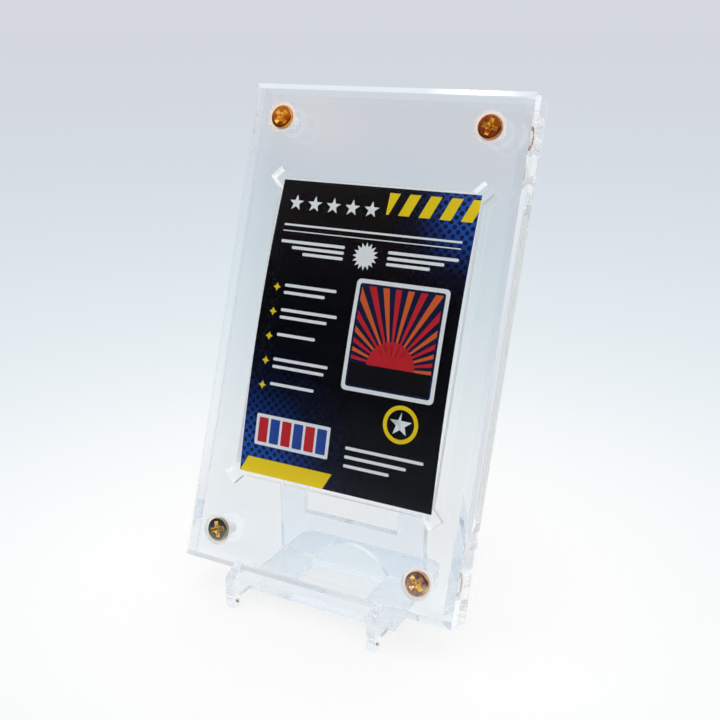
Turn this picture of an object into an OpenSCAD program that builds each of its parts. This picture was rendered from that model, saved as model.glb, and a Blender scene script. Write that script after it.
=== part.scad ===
// Clear screw-down display case for one trading card, leaning back on a clear easel stand.
// Two acrylic plates are held together by four brass machine screws, one in each corner.
// The back plate has a recess that the card lies in. Sizes are in millimetres.
// +Z is up and the case faces -Y. The origin is on the floor, under the middle of the object.

/* [Card] */
// Width of the printed card
card_w = 63.5; // [50:0.5:70]
// Height of the printed card
card_h = 88.9; // [70:0.1:110]
// Thickness of the printed card
card_t = 0.4; // [0.3:0.05:1.5]
// How far the card's middle bows towards the front plate
card_bow = 2.6; // [0.2:0.1:2.7]
// How far the loose card lies to the left of the recess's middle
card_left = 0.5; // [0:0.1:0.5]
// How far the loose card lies above the recess's middle
card_up = 0.3; // [0:0.1:0.5]

/* [Recess] */
// Free space round the card, on each side
card_gap = 0.6; // [0.3:0.1:1.5]
// Gap between the card's top and bottom edges and the floor of the recess
card_air = 0.05; // [0.01:0.01:0.3]
// Depth of the recess, which takes a thick card
recess_d = 3.3; // [2:0.1:4.5]
// Side of the square relief that stands on its point at each corner of the recess
relief_w = 4.4; // [2:0.1:6]

/* [Plates] */
// Width of both plates
case_w = 87.5; // [84:0.5:110]
// Height of both plates
case_h = 144.5; // [135:0.5:180]
// Thickness of the front plate
front_t = 6.35; // [5:0.05:9]
// Thickness of the back plate
back_t = 6.35; // [6:0.05:9]
// Width and depth of the bevel round the front plate's face
bevel = 2; // [0.5:0.1:3]

/* [Screws] */
// Distance from the side of the case to the axis of a screw
screw_inset_x = 11; // [7:0.1:11]
// Distance from the top or bottom of the case to the axis of a screw
screw_inset_y = 10.2; // [7:0.1:16]
// Diameter of a screw's pan head
head_d = 6.9; // [6:0.1:8]
// Height of the head, from its crown to its seat
head_h = 1.2; // [1:0.1:3]
// Height of the low dome on top of the head
dome_h = 0.1; // [0.05:0.05:0.5]
// Diameter of the threaded shank
shank_d = 3.5; // [3:0.1:4]
// Distance from the tip of a screw to the back of the case
tip_back = 1; // [0.2:0.1:3]
// Width across the cross recess in the head
cross_w = 4.8; // [3:0.1:5]
// Width of each slot of the cross recess
cross_slot = 1.2; // [0.6:0.1:1.2]
// Depth of the cross recess
cross_d = 0.9; // [0.6:0.1:0.9]
// How far each cross is turned anticlockwise: top left, top right, bottom left, bottom right
cross_turn = [46, 75, 21, 47]; // [0:1:90]

/* [Screw holes] */
// Diameter of the counterbore that sinks the head into the front plate
counterbore_d = 9; // [8:0.1:10]
// Play between the shank and its hole through the front plate, all round
clearance_play = 0.3; // [0.2:0.05:0.6]
// Play between the shank and the hole in the back plate that it screws into, all round
thread_play = 0.05; // [0.02:0.01:0.1]

/* [Lean] */
// Angle that the case leans back from upright
lean = 19.3; // [12:0.1:25]
// Height of the case's bottom front edge above the floor
case_rise = 9.9; // [8.5:0.1:14]

/* [Stand base] */
// Width of the stand
stand_w = 49; // [40:0.5:80]
// Thickness of the base
base_t = 2.5; // [1.5:0.1:3.5]
// Distance from the case's bottom front edge back to the base's front edge
base_front = 6.9; // [5:0.1:9]
// Depth of the bar along the front of the base, in front of its window
front_bar = 8; // [5:0.1:12]
// Half the width of the window in the base
window_half = 12.5; // [8:0.1:15]
// Depth of the heel that the base has behind the back wall
heel_d = 14; // [8:0.5:25]
// Corner radius of the heel
heel_r = 5; // [2:0.5:7]

/* [Stand wall] */
// Distance from the case's bottom front edge back to the wall's front face
wall_y = 30.4; // [26:0.1:36]
// Thickness of the wall
wall_t = 2.6; // [2:0.1:4]
// Height of the facet at the top of the wall that the case's back lies on
facet_h = 3; // [1:0.1:4]
// Width of each upright of the wall
upright_w = 8.5; // [5:0.1:10]
// Height of the crown of the arch in the foot of the wall
arch_h = 10.3; // [8:0.1:12]
// Height of the top edge of the cross rail, above the floor
rail_top = 17.5; // [14:0.1:20]
// Height of the bar along the top of the wall
top_bar = 8; // [5:0.1:12]
// Corner radius at the top of the wall
top_r = 3; // [1:0.5:4]

/* [Stand arms] */
// Width of each arm and its hook
arm_w = 2.8; // [2:0.1:4]
// How far the hooks stand in front of the case's bottom front edge
hook_reach = 4.6; // [3.5:0.1:6]
// How far under the case's bottom front edge the slope of a hook starts
hook_shoulder = 0.4; // [0:0.1:3]
// How far the tip of a hook rises above the case's bottom front edge
lip_h = 2.5; // [1.5:0.1:5]
// Thickness of a hook at its tip
lip_t = 1.4; // [1:0.1:2]
// Radius of the rounded toe of each foot
toe_r = 1; // [0.5:0.1:1.5]
// Depth of the foot under each hook
foot_d = 1.9; // [1:0.1:2.5]
// Height of the hollow under each arm, behind its foot
hollow_h = 2.6; // [1:0.1:3.5]
// Gap between the stand and the case that stands on it
seat_gap = 0.1; // [0.05:0.05:0.3]

/* [Hidden] */
$fn = 64;
// Facets of the wide tube that the bowed card is a strip of
bow_facets = 720;
// How far a cut runs on past the face that it opens
over = 1;

case_t = front_t + back_t;
recess_w = card_w + 2 * card_gap;
recess_h = card_h + 2 * card_gap;
// Least gap that a shifted or bowed card keeps from the walls and the front plate
card_clear = 0.1;
card_x = -min(card_left, card_gap - card_clear);
card_z = min(card_up, card_gap - card_clear);
bow = min(card_bow, recess_d - card_air - card_t - card_clear);
// Radius of the bowed card's back
bow_r = (card_h * card_h / 4 + bow * bow) / (2 * bow);
// Length of a screw's shank, which ends short of the back of the case
shank_l = case_t - head_h - tip_back;

// Where the highest and the rearmost points of the leaning case come to
case_back_y = case_h * sin(lean) + case_t * cos(lean);
heel_back_y = wall_y + wall_t + heel_d;
// Puts the origin under the middle of the object, from the hooks to what lies rearmost
origin_y = (max(case_back_y, heel_back_y) - hook_reach) / 2;

// Height at which the wall's front face meets the back of the case
wall_meets_z = case_rise - case_t * sin(lean) + (wall_y - case_t * cos(lean)) / tan(lean);
wall_h = wall_meets_z + facet_h;
// The arch is part of a circle that reaches window_half at the top of the base
arch_rise = arch_h - base_t;
arch_r = (window_half * window_half + arch_rise * arch_rise) / (2 * arch_rise);

// Radius of the ball that the dome on the head is cut from
dome_r = (head_d * head_d / 4 + dome_h * dome_h) / (2 * dome_h);

clear_plastic = [0.86, 0.92, 0.96, 0.45];
brass = [0.72, 0.52, 0.20];

// Stands its children on the floor frame: y = 0 is the case's bottom front edge
module on_floor() translate([0, -origin_y, 0]) children();

// Leans its children back with the case: x runs across it, y into it, z up its front face
module in_case() on_floor() translate([0, 0, case_rise]) rotate([-lean, 0, 0]) children();

// Puts its children on a screw's axis: side is -1 or 1, top is 0 or 1
module at_screw(side, top) {
    x = side * (case_w / 2 - screw_inset_x);
    z = top == 1 ? case_h - screw_inset_y : screw_inset_y;
    translate([x, 0, z]) rotate([-90, 0, 0]) children();
}

module at_screws() for (side = [-1, 1], top = [0, 1]) at_screw(side, top) children();

// Triangular strip that cuts a bevel off one edge of the front plate
module bevel_cut(length) {
    reach = bevel + over;
    linear_extrude(length + 2 * over, center = true)
        polygon([[-over, reach], [-over, -over], [reach, -over]]);
}

module front_plate() {
    color(clear_plastic) in_case() difference() {
        translate([-case_w / 2, 0, 0]) cube([case_w, front_t, case_h]);
        for (side = [0, 1]) mirror([side, 0, 0])
            translate([-case_w / 2, 0, case_h / 2]) bevel_cut(case_h);
        rotate([0, -90, 0]) bevel_cut(case_w);
        translate([0, 0, case_h]) rotate([0, 90, 0]) bevel_cut(case_w);
        at_screws() {
            translate([0, 0, -over]) cylinder(d = counterbore_d, h = over + head_h);
            cylinder(d = shank_d + 2 * clearance_play, h = front_t + over);
        }
    }
}

// Space of the recess: the card's rectangle with a square set cornerwise at each corner
module recess_cut() {
    translate([-recess_w / 2, front_t - over, (case_h - recess_h) / 2])
        cube([recess_w, recess_d + over, recess_h]);
    for (side = [-1, 1], end = [-1, 1])
        translate([side * recess_w / 2, front_t - over, case_h / 2 + end * recess_h / 2])
            rotate([0, 45, 0])
                translate([-relief_w / 2, 0, -relief_w / 2])
                    cube([relief_w, recess_d + over, relief_w]);
}

module back_plate() {
    color(clear_plastic) in_case() difference() {
        translate([-case_w / 2, front_t, 0]) cube([case_w, back_t, case_h]);
        recess_cut();
        at_screws() cylinder(d = shank_d + 2 * thread_play, h = case_t + over);
    }
}

// The card stands on the floor of the recess with its top and bottom edges, and its middle
// bows forward: it is a strip of a wide tube, whose axis lies level behind it
module insert_card() {
    depth = bow + card_t;
    color([0.08, 0.09, 0.16]) in_case()
        translate([card_x, front_t + recess_d - card_air, case_h / 2 + card_z]) intersection() {
            translate([-card_w / 2, -depth, -card_h / 2]) cube([card_w, depth, card_h]);
            translate([0, bow_r - bow, 0]) rotate([0, 90, 0]) difference() {
                cylinder(r = bow_r + card_t, h = card_w + 2 * over, center = true, $fn = bow_facets);
                cylinder(r = bow_r, h = card_w + 4 * over, center = true, $fn = bow_facets);
            }
        }
}

// Pan head screw with a cross recess: crown at z = 0, shank along +z
module machine_screw(turn) {
    difference() {
        union() {
            intersection() {
                cylinder(d = head_d, h = head_h);
                translate([0, 0, dome_r]) sphere(r = dome_r);
            }
            cylinder(d = shank_d, h = head_h + shank_l);
        }
        rotate([0, 0, -turn]) cross_cut();
    }
}

module cross_cut() {
    for (a = [0, 90]) rotate([0, 0, a])
        translate([-cross_w / 2, -cross_slot / 2, -over])
            cube([cross_w, cross_slot, over + cross_d]);
    cylinder(r1 = cross_slot, r2 = cross_slot / 4, h = cross_d);
}

module screw(side, top, turn) color(brass) in_case() at_screw(side, top) machine_screw(turn);
module screw_top_left() screw(-1, 1, cross_turn[0]);
module screw_top_right() screw(1, 1, cross_turn[1]);
module screw_bottom_left() screw(-1, 0, cross_turn[2]);
module screw_bottom_right() screw(1, 0, cross_turn[3]);

// Floor plate of the stand, with its window and its rounded heel
module stand_base() {
    window_y = base_front + front_bar;
    straight_d = heel_back_y - heel_r - base_front;
    difference() {
        union() {
            translate([-stand_w / 2, base_front, 0]) cube([stand_w, straight_d, base_t]);
            translate([-stand_w / 2 + heel_r, base_front, 0])
                cube([stand_w - 2 * heel_r, heel_back_y - base_front, base_t]);
            for (side = [-1, 1])
                translate([side * (stand_w / 2 - heel_r), heel_back_y - heel_r, 0])
                    cylinder(r = heel_r, h = base_t);
        }
        translate([-window_half, window_y, -over])
            cube([2 * window_half, wall_y - window_y, base_t + 2 * over]);
    }
}

// Upright wall of the stand, with an arch at its foot and a window between its uprights
module stand_wall() {
    inner_half = stand_w / 2 - upright_w;
    difference() {
        translate([0, wall_y, 0]) union() {
            translate([-stand_w / 2, 0, 0]) cube([stand_w, wall_t, wall_h - top_r]);
            translate([-stand_w / 2 + top_r, 0, 0]) cube([stand_w - 2 * top_r, wall_t, wall_h]);
            for (side = [-1, 1])
                translate([side * (stand_w / 2 - top_r), 0, wall_h - top_r])
                    rotate([-90, 0, 0]) cylinder(r = top_r, h = wall_t);
        }
        translate([-inner_half, wall_y - over, rail_top])
            cube([2 * inner_half, wall_t + 2 * over, wall_h - top_bar - rail_top]);
        intersection() {
            translate([0, wall_y - over, arch_h - arch_r])
                rotate([-90, 0, 0]) cylinder(r = arch_r, h = wall_t + 2 * over);
            translate([-stand_w / 2, wall_y - over, base_t])
                cube([stand_w, wall_t + 2 * over, arch_h]);
        }
    }
}

// Side outline of an arm, from its foot and hook back to the end of its rib (y, z)
module arm_outline() {
    toe_y = -hook_reach;
    tip = [lip_h * tan(lean) - lip_t, case_rise + lip_h];
    rib_y = case_t * cos(lean);
    difference() {
        union() {
            polygon([[toe_y, toe_r], [toe_y + toe_r, 0], [rib_y, 0], [rib_y, tip[1]], tip,
                [toe_y, case_rise - hook_shoulder]]);
            translate([toe_y + toe_r, toe_r]) circle(r = toe_r);
        }
        arm_hollow(toe_y + foot_d, base_front);
    }
}

// Hollow under an arm, from the back of its foot to the front of the base (y, z)
module arm_hollow(front, back) {
    translate([front + hollow_h, -over])
        square([back - front - 2 * hollow_h, over + hollow_h]);
    for (y = [front + hollow_h, back - hollow_h]) translate([y, 0]) circle(r = hollow_h);
}

// Arm with its foot and hook, on one side of the stand
module stand_arm(side) {
    x = side * (stand_w - arm_w) / 2;
    translate([x - arm_w / 2, 0, 0])
        rotate([90, 0, 90]) linear_extrude(arm_w) arm_outline();
}

// Space that the standing case takes up in the stand, with the gap round it
module case_space() {
    translate([0, 0, case_rise]) rotate([-lean, 0, 0])
        translate([-stand_w, -seat_gap, -seat_gap])
            cube([2 * stand_w, case_t + 2 * seat_gap, case_h]);
}

module easel_stand() {
    color(clear_plastic) on_floor() difference() {
        union() {
            stand_base();
            stand_wall();
            for (side = [-1, 1]) stand_arm(side);
        }
        case_space();
    }
}

front_plate();
back_plate();
insert_card();
screw_top_left();
screw_top_right();
screw_bottom_left();
screw_bottom_right();
easel_stand();
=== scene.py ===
"""Looks of a clear screw-down trading card display case that leans back on a clear easel stand.

Shapes are built in millimetres, in the frame of the piece, and then placed in the object's frame.
The case's own frame has x across it, y into it from its front face, and z up its front face.
"""

import logging
import math
from dataclasses import dataclass
from enum import Enum
from typing import Callable, Optional, Sequence

import bmesh
import bpy
from bmesh.types import BMEdge, BMesh, BMFace, BMVert
from bpy.types import Material, NodeSocket, NodeTree, Object
from mathutils import Matrix, Vector


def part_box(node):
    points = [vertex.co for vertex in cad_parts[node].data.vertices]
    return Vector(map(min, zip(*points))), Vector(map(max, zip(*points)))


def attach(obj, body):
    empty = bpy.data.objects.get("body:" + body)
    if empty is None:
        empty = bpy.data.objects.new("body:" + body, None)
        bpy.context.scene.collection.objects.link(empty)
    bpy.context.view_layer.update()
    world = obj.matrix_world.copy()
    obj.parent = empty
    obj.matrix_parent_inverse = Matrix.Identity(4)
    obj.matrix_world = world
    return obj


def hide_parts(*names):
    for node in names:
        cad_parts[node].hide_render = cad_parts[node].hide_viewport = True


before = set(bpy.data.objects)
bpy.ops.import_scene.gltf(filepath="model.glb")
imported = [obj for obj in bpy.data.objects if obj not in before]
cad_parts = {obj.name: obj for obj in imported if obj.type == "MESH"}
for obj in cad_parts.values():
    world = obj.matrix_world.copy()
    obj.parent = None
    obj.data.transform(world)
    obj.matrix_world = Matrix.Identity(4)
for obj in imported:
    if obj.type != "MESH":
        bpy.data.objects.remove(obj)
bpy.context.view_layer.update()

logging.basicConfig(level=logging.INFO, format="%(message)s")
log = logging.getLogger("display_case")

MM = 0.001
TO_METRES = Matrix.Diagonal((MM, MM, MM, 1.0))
# Corners closer than this, in millimetres, are one
WELD = 1e-4
# Places closer than this, in millimetres, are the same
SAME = 1e-3
IMAGE_SIZE = 720
SENSOR_WIDTH = 36.0
# Light crosses many faces of the stacked clear plates before it comes out
LIGHT_STEPS = 96


class Axis(Enum):
    """Direction, in a piece's own frame, that a turned shape's axis points in."""

    INTO_CASE = (0.0, 1.0, 0.0)
    UP = (0.0, 0.0, 1.0)


# ---------------------------------------------------------------------------------------------
# Colours and nodes
# ---------------------------------------------------------------------------------------------


def linear(hex_colour: str) -> tuple[float, float, float, float]:
    """Turns an sRGB hex colour into a linear colour with an alpha of 1.

    Args:
        hex_colour: six hex digits, with or without a leading hash.

    Returns:
        The linear red, green, blue and alpha.
    """
    digits = hex_colour.lstrip("#")
    channels = [int(digits[i:i + 2], 16) / 255 for i in (0, 2, 4)]
    toe, slope, offset, power = 0.04045, 12.92, 0.055, 2.4
    red, green, blue = (
        c / slope if c <= toe else ((c + offset) / (1 + offset)) ** power for c in channels
    )
    return (red, green, blue, 1.0)


def add_node(
    tree: NodeTree, kind: str, inputs: Optional[dict] = None, output: int | str = 0, **settings
) -> Optional[NodeSocket]:
    """Adds a node with its settings, its plain input values and its links.

    Args:
        tree: node tree that takes the node.
        kind: Blender's name of the node type, without ShaderNode in front.
        inputs: input names or numbers, each with a value or with an output socket to link.
        output: name or number of the output that is wanted.
        settings: attributes of the node and their values. A colour ramp's stops are its places
            and hex colours, in rising order.

    Returns:
        The wanted output, or None where a node has no outputs.
    """
    node = tree.nodes.new("ShaderNode" + kind)
    stops = settings.pop("stops", ())
    for name, value in settings.items():
        setattr(node, name, value)
    for name, value in (inputs or {}).items():
        if isinstance(value, NodeSocket):
            tree.links.new(value, node.inputs[name])
        else:
            node.inputs[name].default_value = value
    if stops:
        elements = node.color_ramp.elements
        while len(elements) < len(stops):
            elements.new(1.0)
        for element, (place, colour) in zip(elements, stops):
            element.position = place
            element.color = linear(colour)
    return node.outputs[output] if len(node.outputs) else None


def new_material(name: str) -> tuple[Material, NodeTree]:
    """Makes an empty node material.

    Args:
        name: the finish's name.

    Returns:
        The material and its cleared node tree.
    """
    material = bpy.data.materials.new(name)
    material.use_nodes = True
    material.node_tree.nodes.clear()
    return material, material.node_tree


def patches(tree: NodeTree, size_mm: float, detail: float) -> NodeSocket:
    """Makes cloudy noise of a real size.

    Args:
        tree: the material's node tree.
        size_mm: width of its patches.
        detail: number of finer layers in them.

    Returns:
        The noise, from 0 to 1.
    """
    place = add_node(tree, "TexCoord", output="Object")
    return add_node(tree, "TexNoise", {"Vector": place, "Scale": 1 / (size_mm * MM), "Detail": detail})


def seen_share(tree: NodeTree) -> NodeSocket:
    """Makes 1 for rays that come to the eye without being scattered by a matt surface.

    Args:
        tree: node tree of the world or of the floor.

    Returns:
        The share, 0 or 1.
    """
    path = add_node(tree, "LightPath").node.outputs
    clear = add_node(
        tree, "Math", {0: path["Is Glossy Ray"], 1: path["Is Transmission Ray"]}, operation="ADD"
    )
    seen = add_node(
        tree, "Math", {0: path["Is Camera Ray"], 1: clear}, operation="ADD", use_clamp=True
    )
    straight = add_node(tree, "Math", {0: path["Diffuse Depth"], 1: 0.5}, operation="LESS_THAN")
    return add_node(tree, "Math", {0: seen, 1: straight}, operation="MULTIPLY")


# ---------------------------------------------------------------------------------------------
# Mesh helpers
# ---------------------------------------------------------------------------------------------


def box(low: Sequence[float], high: Sequence[float]) -> BMesh:
    """Makes a box.

    Args:
        low: its lowest corner.
        high: its highest corner.

    Returns:
        A mesh that holds the box.
    """
    low, high = Vector(low), Vector(high)
    place = Matrix.Translation((low + high) / 2) @ Matrix.Diagonal((*(high - low), 1.0))
    bm = bmesh.new()
    bmesh.ops.create_cube(bm, size=1.0, matrix=place)
    bm.normal_update()
    return bm


def disc_column(
    bm: BMesh, radius: float, start: Sequence[float], length: float, axis: Axis,
    segments: int = 96, end_radius: Optional[float] = None,
) -> BMesh:
    """Adds a closed cylinder or cone.

    Args:
        bm: mesh that takes it.
        radius: radius at its start.
        start: centre of its first end.
        length: its length along the axis.
        axis: direction of the axis.
        segments: sides round it.
        end_radius: radius at its far end, if that differs.

    Returns:
        The mesh.
    """
    along = Vector(axis.value)
    turn = Vector((0, 0, 1)).rotation_difference(along).to_matrix().to_4x4()
    place = Matrix.Translation(Vector(start) + along * length / 2) @ turn
    far = radius if end_radius is None else end_radius
    bmesh.ops.create_cone(
        bm, cap_ends=True, segments=segments, radius1=radius, radius2=far, depth=length, matrix=place
    )
    return bm


def edges_along(bm: BMesh, axis: str, **places: float) -> list[BMEdge]:
    """Finds the edges that run along an axis.

    Args:
        bm: mesh that is searched.
        axis: name of the axis: x, y or z.
        places: where the edges lie on the other axes, by name.

    Returns:
        The edges.
    """
    across = [name for name in "xyz" if name != axis]
    found = []
    for edge in bm.edges:
        first, last = (v.co for v in edge.verts)
        level = all(abs(getattr(first, name) - getattr(last, name)) < SAME for name in across)
        if level and all(abs(getattr(first, name) - at) < SAME for name, at in places.items()):
            found.append(edge)
    return found


def creases(bm: BMesh, least_deg: float) -> list[BMEdge]:
    """Finds the edges between two faces that meet at more than an angle.

    Args:
        bm: mesh that is searched.
        least_deg: the angle in degrees.

    Returns:
        The edges.
    """
    return [e for e in bm.edges if e.is_manifold and e.calc_face_angle() > math.radians(least_deg)]


def round_edges(
    bm: BMesh, edges: list[BMEdge], radius: float, segments: int = 12, clamp: bool = False
) -> None:
    """Rounds edges, or bevels them where there is one segment.

    Args:
        bm: mesh that has the edges.
        edges: the edges.
        radius: how far the rounding reaches from each edge.
        segments: facets of each rounding.
        clamp: whether roundings stop where they would overlap.
    """
    bmesh.ops.bevel(
        bm, geom=edges, offset=radius, offset_type="OFFSET", affect="EDGES", segments=segments,
        profile=0.5, material=-1, clamp_overlap=clamp,
    )


def cut_along(bm: BMesh, point: Sequence[float], normal: Sequence[float], clear: bool = True) -> None:
    """Cuts a mesh along a plane.

    Args:
        bm: mesh that is cut.
        point: a point of the plane.
        normal: direction that the plane faces.
        clear: whether what lies in front of the plane is taken away.
    """
    bmesh.ops.bisect_plane(
        bm, geom=bm.verts[:] + bm.edges[:] + bm.faces[:], plane_co=point, plane_no=normal,
        clear_outer=clear,
    )


def push_out(bm: BMesh, faces: list[BMFace], offset: Sequence[float]) -> None:
    """Makes flat faces into closed solids.

    Args:
        bm: mesh that has the faces.
        faces: the faces.
        offset: way from each face to the other side of its solid.
    """
    made = bmesh.ops.extrude_face_region(bm, geom=faces, use_keep_orig=True)["geom"]
    bmesh.ops.translate(bm, vec=offset, verts=[v for v in made if isinstance(v, BMVert)])
    bmesh.ops.recalc_face_normals(bm, faces=bm.faces)


def join(source: BMesh, target: BMesh) -> None:
    """Adds one mesh to another, and frees the first.

    Args:
        source: mesh that is added.
        target: mesh that takes it.
    """
    carrier = bpy.data.meshes.new("carrier")
    source.to_mesh(carrier)
    source.free()
    target.from_mesh(carrier)
    bpy.data.meshes.remove(carrier)


def object_from(bm: BMesh, name: str, materials: Sequence[Material]) -> Object:
    """Turns a bmesh into an object in the scene, and frees the bmesh.

    Args:
        bm: the finished mesh.
        name: the object's name.
        materials: its material slots, in order.

    Returns:
        The new object.
    """
    mesh = bpy.data.meshes.new(name)
    bm.to_mesh(mesh)
    bm.free()
    for material in materials:
        mesh.materials.append(material)
    made = bpy.data.objects.new(name, mesh)
    bpy.context.scene.collection.objects.link(made)
    return made


def combine(target: Object, tool: Object, operation: str = "DIFFERENCE") -> None:
    """Cuts a tool out of an object, or joins it on, and removes the tool.

    Args:
        target: object whose mesh changes.
        tool: closed object, whose materials come along on the faces that it leaves.
        operation: DIFFERENCE or UNION.
    """
    modifier = target.modifiers.new("combine", "BOOLEAN")
    modifier.object = tool
    modifier.operation = operation
    modifier.solver = "EXACT"
    modifier.material_mode = "TRANSFER"
    evaluated = target.evaluated_get(bpy.context.evaluated_depsgraph_get())
    result = bpy.data.meshes.new_from_object(evaluated)
    target.modifiers.clear()
    target.data = result
    bpy.data.objects.remove(tool)


def settle(piece: Object, place: Matrix, sharp_deg: float = 10.0) -> None:
    """Places a piece's mesh in metres and shades it.

    Args:
        piece: object whose mesh is in millimetres, in its own frame.
        place: where the piece's frame lies in the object's frame, in millimetres.
        sharp_deg: least angle between faces that stays a crease, small so that flat faces stay flat.
    """
    piece.data.transform(TO_METRES @ place)
    for face in piece.data.polygons:
        face.use_smooth = True
    piece.data.set_sharp_from_angle(angle=math.radians(sharp_deg))


def finish_mesh(
    piece: Object, place: Matrix, rounding: float = 0.0, segments: int = 2, round_over_deg: float = 30.0
) -> None:
    """Cleans a piece's mesh, rounds its sharp edges, places it in metres and shades it.

    Args:
        piece: object whose mesh is in millimetres, in its own frame.
        place: where the piece's frame lies in the object's frame, in millimetres.
        rounding: radius of the rounded edges, or 0 for none.
        segments: facets of each rounding.
        round_over_deg: least angle between faces that is rounded.
    """
    flat_deg = 0.3
    bm = bmesh.new()
    bm.from_mesh(piece.data)
    bmesh.ops.remove_doubles(bm, verts=bm.verts, dist=WELD)
    bmesh.ops.dissolve_limit(
        bm, angle_limit=math.radians(flat_deg), verts=bm.verts, edges=bm.edges, delimit={"MATERIAL"}
    )
    if rounding > 0:
        round_edges(bm, creases(bm, round_over_deg), rounding, segments, clamp=True)
    bmesh.ops.recalc_face_normals(bm, faces=bm.faces)
    bm.to_mesh(piece.data)
    bm.free()
    settle(piece, place)


# ---------------------------------------------------------------------------------------------
# Finishes
# ---------------------------------------------------------------------------------------------


def let_lamps_through(tree: NodeTree, shader: NodeSocket, tint: str) -> None:
    """Ends a clear material so that lamps shine through it and its shadow stays pale.

    Args:
        tree: the material's node tree.
        shader: the clear shader's output.
        tint: hex colour of light that has crossed one face.
    """
    through = add_node(tree, "BsdfTransparent", {"Color": linear(tint)})
    shadow = add_node(tree, "LightPath", output="Is Shadow Ray")
    surface = add_node(tree, "MixShader", {0: shadow, 1: shader, 2: through})
    add_node(tree, "OutputMaterial", {"Surface": surface})


@dataclass(frozen=True)
class ClearAcrylic:
    """Cast acrylic sheet, saw cut, then diamond and flame polished: water clear, gloss on every face."""

    name: str = "cast_acrylic_polished"
    tint: str = "#FCFEFF"
    shadow_tint: str = "#FEFFFF"
    ior: float = 1.49
    roughness_low: float = 0.0
    roughness_high: float = 0.03
    # Haze left by polishing comes in patches about this wide, where their noise is over the first level
    haze_mm: float = 9.0
    haze_detail: float = 3.0
    haze_levels: tuple[float, float] = (0.45, 0.8)

    def make(self) -> Material:
        """Builds the material."""
        material, tree = new_material(self.name)
        rough = add_node(tree, "MapRange", {
            "Value": patches(tree, self.haze_mm, self.haze_detail),
            "From Min": self.haze_levels[0], "From Max": self.haze_levels[1],
            "To Min": self.roughness_low, "To Max": self.roughness_high,
        })
        glass = add_node(tree, "BsdfPrincipled", {
            "Base Color": linear(self.tint), "IOR": self.ior, "Transmission Weight": 1.0,
            "Roughness": rough,
        })
        let_lamps_through(tree, glass, self.shadow_tint)
        return material


@dataclass(frozen=True)
class CutAcrylic:
    """Acrylic left as the cutter leaves it: fine tool marks scatter the light that the plate carries, and
    a faint painted glow on the cut faces stands in for light held in the plate.
    """

    name: str
    colour: str = "#FFFFFF"
    shadow_tint: str = "#F6F8FA"
    ior: float = 1.49
    roughness: float = 0.45
    # Share of the light that the tool marks scatter. The rest passes as through clear acrylic
    scatter: float = 0.95
    # Of the light seen from the air, this share comes off the face and the rest through it
    off_face: float = 0.85
    # Painted glow: emission strength on the cut faces, standing in for light that total reflection holds
    # in the plate, past the light steps, until a cut face scatters it. First as seen from inside the
    # plate, then as seen from the air
    painted_glow_inside: float = 0.22
    painted_glow_outside: float = 0.0
    # Tool marks lie about this far apart
    mark_mm: float = 0.3
    mark_detail: float = 2.0
    mark_depth_mm: float = 0.02
    mark_strength: float = 0.6

    def make(self) -> Material:
        """Builds the material."""
        material, tree = new_material(self.name)
        bump = add_node(tree, "Bump", {
            "Height": patches(tree, self.mark_mm, self.mark_detail),
            "Distance": self.mark_depth_mm * MM, "Strength": self.mark_strength,
        })
        colour = linear(self.colour)
        glass = add_node(tree, "BsdfPrincipled", {
            "Base Color": colour, "IOR": self.ior, "Roughness": self.roughness,
            "Transmission Weight": 1.0, "Normal": bump,
        })
        through = add_node(tree, "BsdfTranslucent", {"Color": colour, "Normal": bump})
        back = add_node(tree, "BsdfDiffuse", {"Color": colour, "Normal": bump})
        front = add_node(tree, "MixShader", {0: self.off_face, 1: through, 2: back})
        sides = []
        # Painted glow: an emission is added on each side of the cut face, standing in for light held in
        # the plate
        for shader, strength in ((front, self.painted_glow_outside), (back, self.painted_glow_inside)):
            painted_glow = add_node(tree, "Emission", {"Color": colour, "Strength": strength})
            sides.append(add_node(tree, "AddShader", {0: shader, 1: painted_glow}))
        inside = add_node(tree, "NewGeometry", output="Backfacing")
        scattered = add_node(tree, "MixShader", {0: inside, 1: sides[0], 2: sides[1]})
        cut = add_node(tree, "MixShader", {0: self.scatter, 1: glass, 2: scattered})
        let_lamps_through(tree, cut, self.shadow_tint)
        # Its painted glow is too faint to light anything, so no light is looked for in it
        material.cycles.emission_sampling = "NONE"
        return material


@dataclass(frozen=True)
class PlatedBrass:
    """Turned brass screw with a bright yellow passivated plating, which shows rose and green tints."""

    name: str
    main: str
    tint: str
    rim: str
    roughness: float = 0.14
    # Least and most roughness, as shares of it
    roughness_spread: tuple[float, float] = (0.7, 1.4)
    # Cloudy tints of the plating are about this wide
    cloud_mm: float = 2.2
    cloud_detail: float = 4.0
    # Turning marks lie this far apart, drawn coarse enough to show
    ring_mm: float = 0.35
    ring_depth_mm: float = 0.004
    ring_strength: float = 0.5

    def make(self) -> Material:
        """Builds the material."""
        material, tree = new_material(self.name)
        cloud = patches(tree, self.cloud_mm, self.cloud_detail)
        stops = ((0.35, self.rim), (0.5, self.main), (0.68, self.tint))
        colour = add_node(tree, "ValToRGB", {"Fac": cloud}, stops=stops)
        lathe = add_node(tree, "UVMap", uv_map="lathe")
        radius = add_node(tree, "VectorMath", {0: lathe}, "Value", operation="LENGTH")
        turned = add_node(tree, "Math", {0: radius, 1: 2 * math.pi / self.ring_mm}, operation="MULTIPLY")
        bump = add_node(tree, "Bump", {
            "Height": add_node(tree, "Math", {0: turned}, operation="SINE"),
            "Distance": self.ring_depth_mm * MM, "Strength": self.ring_strength,
        })
        low, high = (self.roughness * share for share in self.roughness_spread)
        rough = add_node(tree, "MapRange", {"Value": cloud, "To Min": low, "To Max": high})
        metal = add_node(tree, "BsdfPrincipled", {
            "Base Color": colour, "Metallic": 1.0, "Roughness": rough, "Normal": bump,
        })
        add_node(tree, "OutputMaterial", {"Surface": metal})
        return material


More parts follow.
